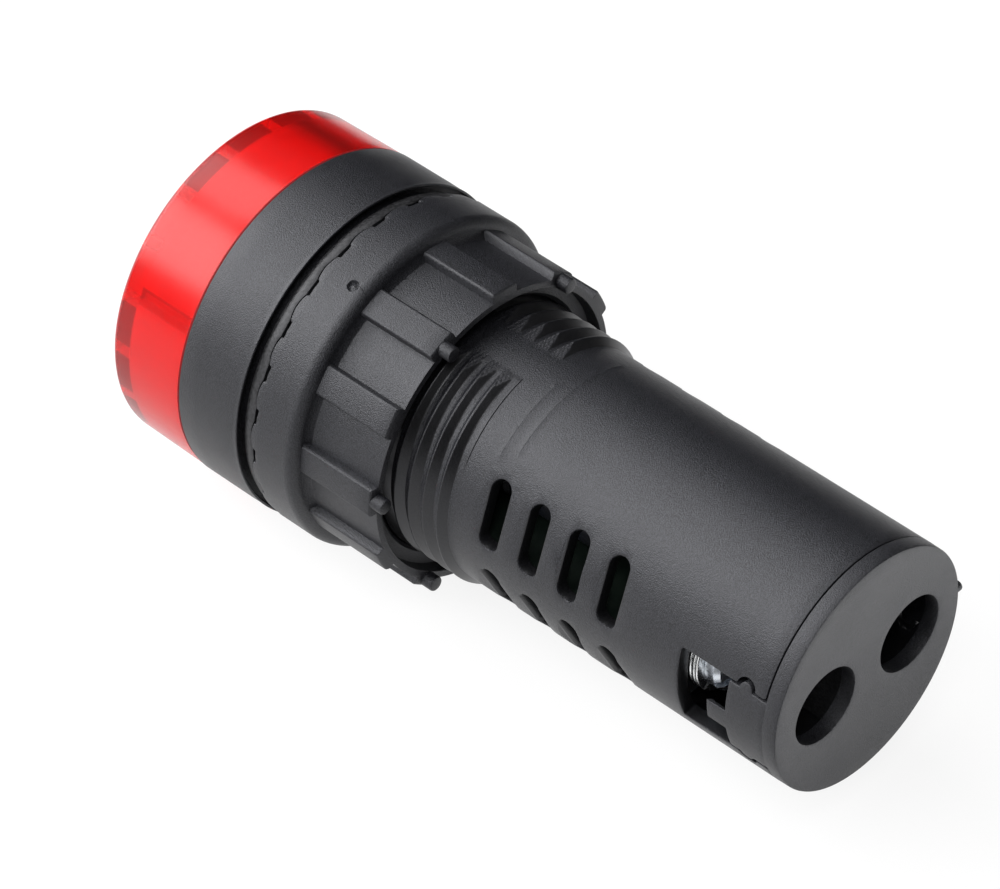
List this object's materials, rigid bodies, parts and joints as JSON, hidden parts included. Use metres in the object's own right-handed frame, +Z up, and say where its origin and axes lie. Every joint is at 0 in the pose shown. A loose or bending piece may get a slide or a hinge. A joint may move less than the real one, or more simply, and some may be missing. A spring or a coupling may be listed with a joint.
{
  "type": "sound and light alarm",
  "caption": "Panel-mount flashing buzzer: red translucent lens with sound slots, black threaded and vented barrel, ribbed panel nut, seal ring and screw terminals.",
  "frame": {"origin": "middle of the panel seat, on the device axis, in the plane of the bezel's rear face", "axes": "+Y along the device axis from the lens to the terminals, +X along the line of the two driver holes, +Z up"},
  "size_m": [0.0294, 0.066, 0.0294],
  "materials": {
    "red_lens": "translucent red, polished outside",
    "black_plastic": "black, fine spark-eroded texture",
    "seal_rubber": "black, smooth",
    "nut_plastic": "black, fine texture",
    "cap_plastic": "black, fine texture",
    "base_plastic": "black, smooth",
    "plated_terminal": "nickel plated",
    "plated_steel": "zinc plated, bright",
    "spring_steel": "zinc plated",
    "circuit_board": "green solder mask",
    "film_capacitor": "yellow box, satin",
    "capacitor_sleeve": "dark sleeve",
    "chip_black": "moulded, matte",
    "resistor_body": "lacquered",
    "pin_metal": "gilt",
    "lamp_board": "white solder mask",
    "led_body": "moulded",
    "sounder_plastic": "black, smooth",
    "sounder_white": "natural white, satin",
    "piezo_brass": "rolled",
    "piezo_white": "fired ceramic with silvered face"
  },
  "bodies": {
    "body": {"lens": "red_lens", "housing": "black_plastic", "end_cap": "cap_plastic", "terminal_base": "base_plastic", "terminal_plate_a": "plated_terminal", "terminal_plate_b": "plated_terminal", "main_board": "circuit_board", "drop_capacitor": "film_capacitor", "filter_capacitor": "capacitor_sleeve", "bridge_rectifier": "chip_black", "driver_chip": "chip_black", "resistors": "resistor_body", "header_pins": "pin_metal", "led_board": "lamp_board", "leds": "led_body", "sounder_case": "sounder_white", "sounder_cover": "sounder_plastic", "piezo_plate": "piezo_brass", "piezo_ceramic": "piezo_white"},
    "seal": {"seal_ring": "seal_rubber"},
    "nut": {"panel_nut": "nut_plastic"},
    "clamp_a": {"clamp_washer_a": "plated_steel", "spring_washer_a": "spring_steel"},
    "screw_a": {"terminal_screw_a": "plated_steel"},
    "clamp_b": {"clamp_washer_b": "plated_steel", "spring_washer_b": "spring_steel"},
    "screw_b": {"terminal_screw_b": "plated_steel"}
  },
  "joints": [
    {"name": "seal_travel", "type": "slide", "parent": "body", "child": "seal", "axis": [0, 1, 0], "range_m": [0, 0.015]},
    {"name": "nut_turn", "type": "hinge", "parent": "seal", "child": "nut", "pos_m": [0, 0, 0], "axis": [0, 1, 0], "range_deg": [0, 3610]},
    {"name": "clamp_a_travel", "type": "slide", "parent": "body", "child": "clamp_a", "axis": [0, 1, 0], "range_m": [0, 0.0025]},
    {"name": "screw_a_turn", "type": "hinge", "parent": "clamp_a", "child": "screw_a", "pos_m": [0.00477, 0, 0], "axis": [0, 1, 0], "range_deg": [0, 1830]},
    {"name": "clamp_b_travel", "type": "slide", "parent": "body", "child": "clamp_b", "axis": [0, 1, 0], "range_m": [0, 0.0025]},
    {"name": "screw_b_turn", "type": "hinge", "parent": "clamp_b", "child": "screw_b", "pos_m": [-0.00477, 0, 0], "axis": [0, 1, 0], "range_deg": [0, 1830]}
  ],
  "couplings": [
    {"joint": "nut_turn", "follows": "seal_travel", "rad_per_m": 4188.8},
    {"joint": "screw_a_turn", "follows": "clamp_a_travel", "rad_per_m": 12566},
    {"joint": "screw_b_turn", "follows": "clamp_b_travel", "rad_per_m": 12566}
  ]
}
